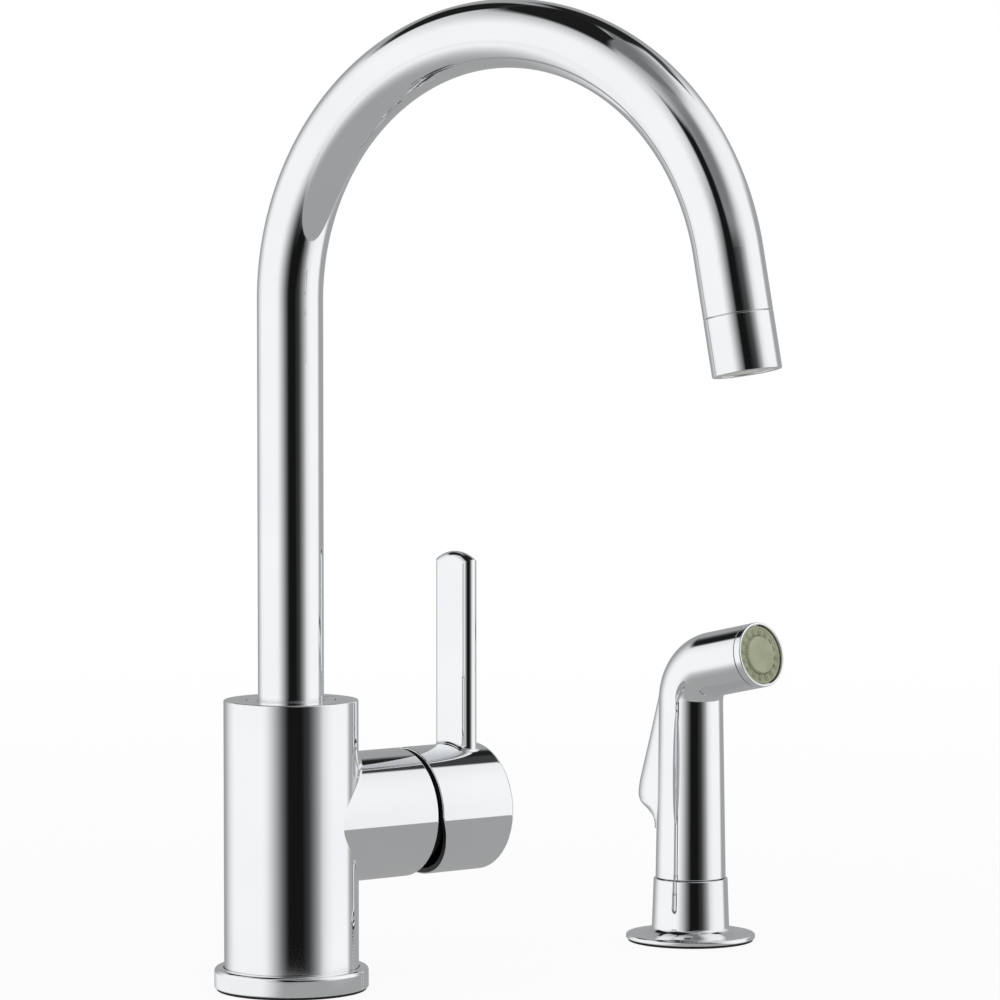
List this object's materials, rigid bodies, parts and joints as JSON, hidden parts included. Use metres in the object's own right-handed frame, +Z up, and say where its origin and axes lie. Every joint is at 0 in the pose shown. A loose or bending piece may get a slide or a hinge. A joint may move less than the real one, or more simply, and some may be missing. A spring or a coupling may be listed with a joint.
{
  "type": "side spray kitchen faucet",
  "caption": "Chrome deck-mounted kitchen faucet with a swivelling gooseneck spout, a side lever valve and a separate pull-out side spray in its own holder.",
  "frame": {"origin": "the faucet's own axis at the deck's top surface, under the base ring's gasket", "axes": "+Z up; +X along the valve's axis and the row of deck holes, from the faucet to the side spray; -Y towards the user and the sink bowl"},
  "size_m": [0.2597, 0.2368, 0.4346],
  "materials": {
    "chrome": "polished chrome plate",
    "brass": "machined brass",
    "steel": "stainless steel",
    "rubber": "matte black rubber",
    "black_plastic": "satin black plastic",
    "white_plastic": "satin white plastic",
    "grey_plastic": "satin grey plastic",
    "face_plastic": "matte grey-green silicone",
    "ceramic": "lapped alumina ceramic"
  },
  "bodies": {
    "faucet_base": {"deck_gasket": "rubber", "base_ring": "chrome", "valve_body": "chrome", "mounting_shank": "brass", "under_deck_seal": "rubber", "under_deck_washer": "steel", "mounting_nut": "brass", "hot_nipple": "brass", "cold_nipple": "brass", "spray_outlet_nipple": "brass", "diverter_guide": "white_plastic", "cartridge_seal": "rubber", "cartridge_housing": "white_plastic", "fixed_disc": "ceramic", "bonnet_nut": "brass", "trim_sleeve": "black_plastic", "spout_retaining_ring": "steel", "spout_bush": "chrome", "holder_gasket": "rubber", "spray_holder": "chrome", "holder_insert": "black_plastic", "holder_nut": "black_plastic"},
    "diverter": {"diverter_poppet": "black_plastic"},
    "temperature_carrier": {"temperature_collar": "white_plastic", "stem_pin": "steel"},
    "mixing_disc": {"moving_disc": "ceramic"},
    "handle": {"cartridge_stem": "steel", "lever_handle": "chrome", "handle_set_screw": "steel", "handle_plug": "grey_plastic"},
    "spout": {"spout_tube": "chrome", "spout_hub": "brass", "lower_spout_seal": "rubber", "upper_spout_seal": "rubber", "aerator_shell": "chrome", "aerator_washer": "rubber", "aerator_insert": "white_plastic"},
    "spray_wand": {"wand_shell": "chrome", "wand_waterway": "white_plastic", "hose_coupling": "brass", "trigger_pin": "steel", "nozzle_core": "white_plastic", "spray_face": "face_plastic", "face_bezel": "chrome", "plunger_spring": "steel"},
    "trigger": {"spray_trigger": "chrome"},
    "plunger": {"valve_plunger": "brass", "plunger_seal": "rubber"}
  },
  "joints": [
    {"name": "spout_swivel", "type": "hinge", "parent": "faucet_base", "child": "spout", "pos_m": [0, 0, 0.094], "axis": [0, 0, 1], "continuous": true},
    {"name": "temperature_turn", "type": "hinge", "parent": "faucet_base", "child": "temperature_carrier", "pos_m": [0.054, 0, 0.0647], "axis": [1, 0, 0], "range_deg": [-50, 50]},
    {"name": "flow_tilt", "type": "hinge", "parent": "temperature_carrier", "child": "handle", "pos_m": [0.054, 0, 0.0647], "axis": [0, 1, 0], "range_deg": [0, 20]},
    {"name": "disc_slide", "type": "slide", "parent": "temperature_carrier", "child": "mixing_disc", "axis": [0, 0, 1], "range_m": [0, 0.0045]},
    {"name": "diverter_lift", "type": "slide", "parent": "faucet_base", "child": "diverter", "axis": [0, 0, 1], "range_m": [0, 0.0025]},
    {"name": "wand_lift", "type": "slide", "parent": "faucet_base", "child": "spray_wand", "axis": [0, 0, 1], "range_m": [0, 0.12]},
    {"name": "trigger_press", "type": "hinge", "parent": "spray_wand", "child": "trigger", "pos_m": [0.20215, 0.00894, 0.1], "axis": [-0.9932, -0.1167, 0], "range_deg": [0, 7], "stiffness_Nm_per_rad": 0.4, "springref_deg": -14.32},
    {"name": "plunger_slide", "type": "slide", "parent": "spray_wand", "child": "plunger", "axis": [0.1167, -0.9932, 0], "range_m": [0, 0.0038], "deforming": ["plunger_spring"]}
  ],
  "couplings": [
    {"joint": "disc_slide", "follows": "flow_tilt", "m_per_rad": 0.012},
    {"joint": "plunger_slide", "follows": "trigger_press", "m_per_rad": 0.028}
  ]
}
